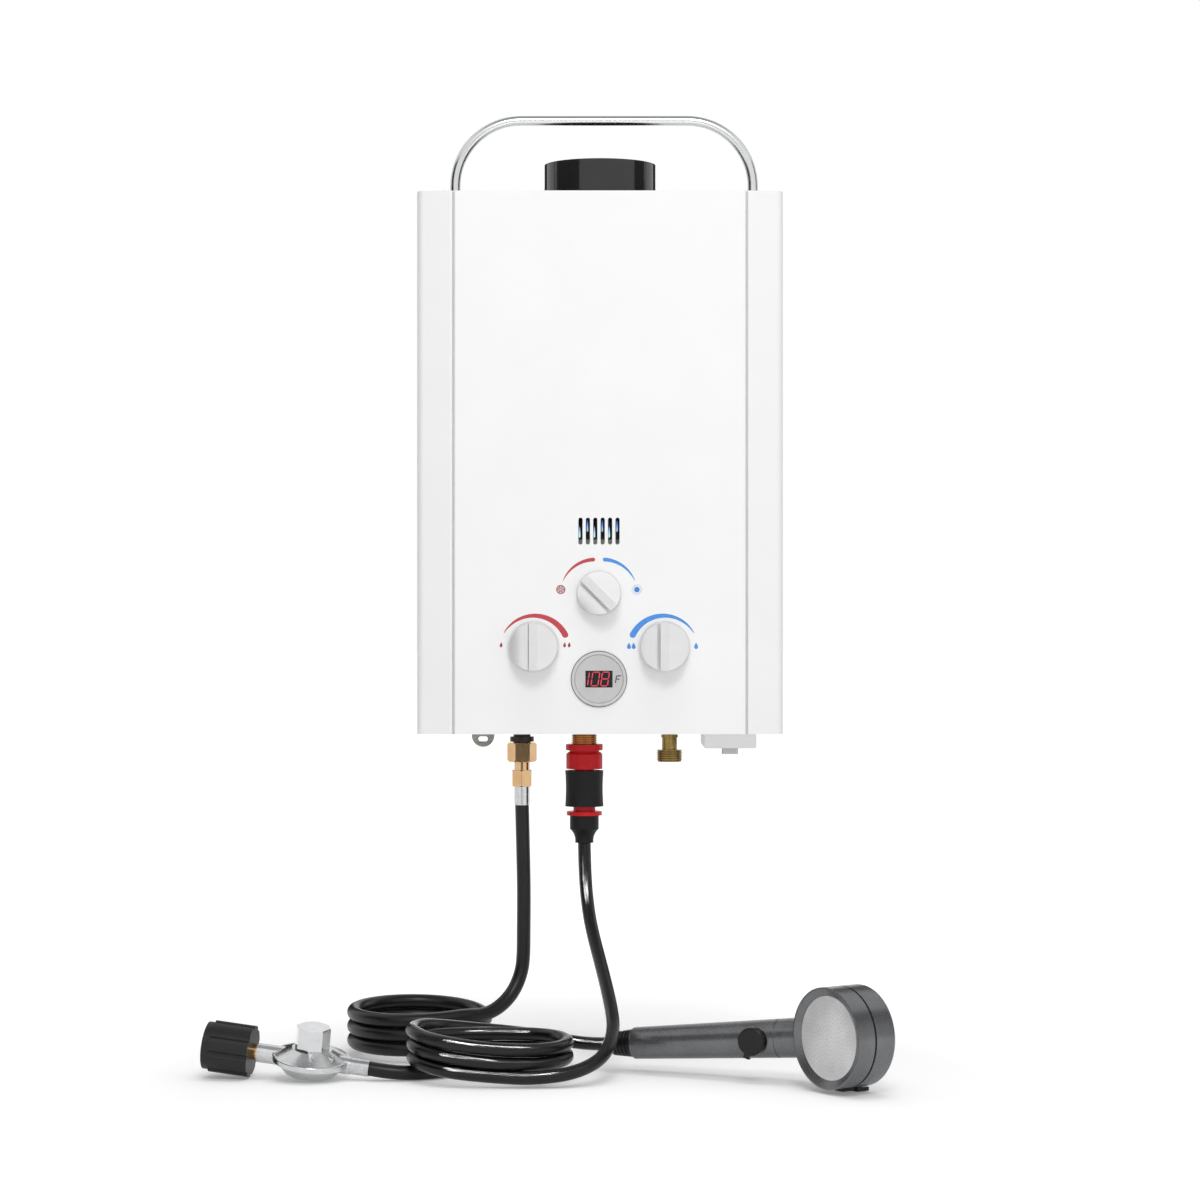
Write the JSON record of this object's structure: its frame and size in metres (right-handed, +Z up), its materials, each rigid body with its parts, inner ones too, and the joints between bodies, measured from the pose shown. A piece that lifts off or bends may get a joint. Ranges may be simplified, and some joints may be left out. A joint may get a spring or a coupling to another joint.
{
  "type": "portable water heater",
  "caption": "Wall-hung portable gas water heater with carrying handle, control knobs, display, gas hose with regulator, and shower hose with hand shower.",
  "frame": {"origin": "wall-hanging keyhole on the rear face of the back plate", "axes": "+X to the right seen from the front, +Y into the wall, +Z up"},
  "size_m": [0.5254, 0.3026, 0.7603],
  "materials": {
    "front_panel_enamel": "semi-gloss white powder coat",
    "side_panel_enamel": "semi-gloss pale grey powder coat",
    "galvanised_sheet": "galvanised sheet steel",
    "screw_steel": "zinc-plated steel",
    "handle_chrome": "polished chrome tube",
    "flue_black": "gloss black enamel",
    "knob_silver": "satin silver-painted plastic",
    "bezel_silver": "bright silver plated plastic",
    "display_face_grey": "satin grey plastic",
    "display_window": "dark glossy window",
    "battery_plastic": "white moulded plastic",
    "latch_plastic": "pale grey moulded plastic",
    "cell_jacket": "printed foil jacket over steel",
    "burner_steel": "heat-tinted stainless steel",
    "cast_aluminium": "as-cast aluminium",
    "electrode_ceramic": "glazed alumina with steel rods",
    "copper": "bare copper",
    "component_plastic": "black moulded plastic",
    "brass": "machined brass",
    "gas_inlet_finish": "blackened steel",
    "cold_inlet_finish": "machined brass",
    "hot_outlet_finish": "machined brass",
    "gas_hose_rubber": "satin black rubber",
    "ferrule_steel": "crimped plated steel",
    "regulator_zinc": "bright die-cast zinc",
    "regulator_cap_zinc": "polished die-cast zinc",
    "nut_plastic": "black moulded plastic",
    "coupling_red": "red moulded plastic",
    "coupling_black": "black moulded plastic",
    "shower_hose_pvc": "glossy black sheath over fine braid",
    "black_fitting": "black moulded plastic",
    "gunmetal": "satin gunmetal lacquer on plastic",
    "spray_plate_silver": "perforated stainless steel"
  },
  "bodies": {
    "heater": {"back_plate": "galvanised_sheet", "battery_box": "battery_plastic", "battery_cells": "cell_jacket", "bottom_panel": "side_panel_enamel", "burner_bars": "burner_steel", "burner_tray": "galvanised_sheet", "cold_inlet": "cold_inlet_finish", "cover_screws": "screw_steel", "cylinder_nipple": "brass", "display_bezel": "bezel_silver", "display_face": "display_face_grey", "display_module": "display_window", "flue_collar": "flue_black", "flue_grille": "flue_black", "flue_hood": "galvanised_sheet", "front_panel": "front_panel_enamel", "gas_hose_coil": "gas_hose_rubber", "gas_hose_drop": "gas_hose_rubber", "gas_hose_tail": "gas_hose_rubber", "gas_inlet": "gas_inlet_finish", "gas_line_nuts": "brass", "gas_manifold": "cast_aluminium", "gas_solenoid": "component_plastic", "gas_valve": "cast_aluminium", "handle_brackets": "screw_steel", "heat_exchanger": "copper", "hose_end": "black_fitting", "hose_ferrules": "ferrule_steel", "hose_nut": "coupling_black", "hot_outlet": "hot_outlet_finish", "igniter_module": "component_plastic", "ignition_electrodes": "electrode_ceramic", "left_side_panel": "side_panel_enamel", "micro_switch": "component_plastic", "quick_body": "coupling_red", "regulator_body": "regulator_zinc", "regulator_cap": "regulator_cap_zinc", "right_side_panel": "side_panel_enamel", "shower_handle": "gunmetal", "shower_head": "gunmetal", "shower_hose_coil": "shower_hose_pvc", "shower_hose_drop": "shower_hose_pvc", "shower_hose_tail": "shower_hose_pvc", "shower_rim": "gunmetal", "spray_plate": "spray_plate_silver", "tap_connector": "coupling_red", "top_panel": "side_panel_enamel", "water_tube": "copper", "water_valve": "brass"},
    "carry_handle": {"carry_handle": "handle_chrome"},
    "mode_knob": {"mode_knob": "knob_silver"},
    "gas_knob": {"gas_knob": "knob_silver"},
    "water_knob": {"water_knob": "knob_silver"},
    "battery_door": {"battery_door": "battery_plastic"},
    "battery_latch": {"battery_latch": "latch_plastic"},
    "quick_sleeve": {"quick_sleeve": "coupling_black"},
    "cylinder_nut": {"cylinder_nut": "nut_plastic"},
    "shower_knob": {"shower_knob": "black_fitting"},
    "spray_lever": {"spray_lever": "black_fitting"},
    "valve_push_rod": {"valve_push_rod": "screw_steel"}
  },
  "joints": [
    {"name": "handle_fold", "type": "hinge", "parent": "heater", "child": "carry_handle", "pos_m": [0.0033, -0.0625, 0.0555], "axis": [1, 0, 0], "range_deg": [-88, 88]},
    {"name": "mode_turn", "type": "hinge", "parent": "heater", "child": "mode_knob", "pos_m": [-0.0008, -0.125, -0.2683], "axis": [0, -1, 0], "range_deg": [-130, 40]},
    {"name": "gas_turn", "type": "hinge", "parent": "heater", "child": "gas_knob", "pos_m": [-0.0526, -0.125, -0.3107], "axis": [0, -1, 0], "range_deg": [-85, 85]},
    {"name": "water_turn", "type": "hinge", "parent": "heater", "child": "water_knob", "pos_m": [0.051, -0.125, -0.3107], "axis": [0, -1, 0], "range_deg": [-85, 85]},
    {"name": "battery_door_swing", "type": "hinge", "parent": "heater", "child": "battery_door", "pos_m": [0.1037, -0.0255, -0.383], "axis": [1, 0, 0], "range_deg": [0, 95]},
    {"name": "battery_latch_slide", "type": "slide", "parent": "battery_door", "child": "battery_latch", "axis": [0, 1, 0], "range_m": [0, 0.004]},
    {"name": "sleeve_pull", "type": "slide", "parent": "heater", "child": "quick_sleeve", "axis": [0, 0, -1], "range_m": [0, 0.004], "stiffness_N_per_m": 500, "springref_m": -0.002},
    {"name": "cylinder_nut_spin", "type": "hinge", "parent": "heater", "child": "cylinder_nut", "pos_m": [-0.28452, -0.18881, -0.61919], "axis": [-0.9829, 0.1381, 0.1219], "continuous": true},
    {"name": "shower_knob_turn", "type": "hinge", "parent": "heater", "child": "shower_knob", "pos_m": [0.12247, -0.20509, -0.6097], "axis": [-0.4271, -0.9042, 0], "range_deg": [0, 90]},
    {"name": "spray_lever_turn", "type": "hinge", "parent": "heater", "child": "spray_lever", "pos_m": [0.1678, -0.272, -0.6002], "axis": [-0.8068, -0.5908, 0], "range_deg": [-20, 20]},
    {"name": "push_rod_travel", "type": "slide", "parent": "heater", "child": "valve_push_rod", "axis": [-1, 0, 0], "range_m": [0, 0.003], "stiffness_N_per_m": 300, "springref_m": -0.002}
  ]
}
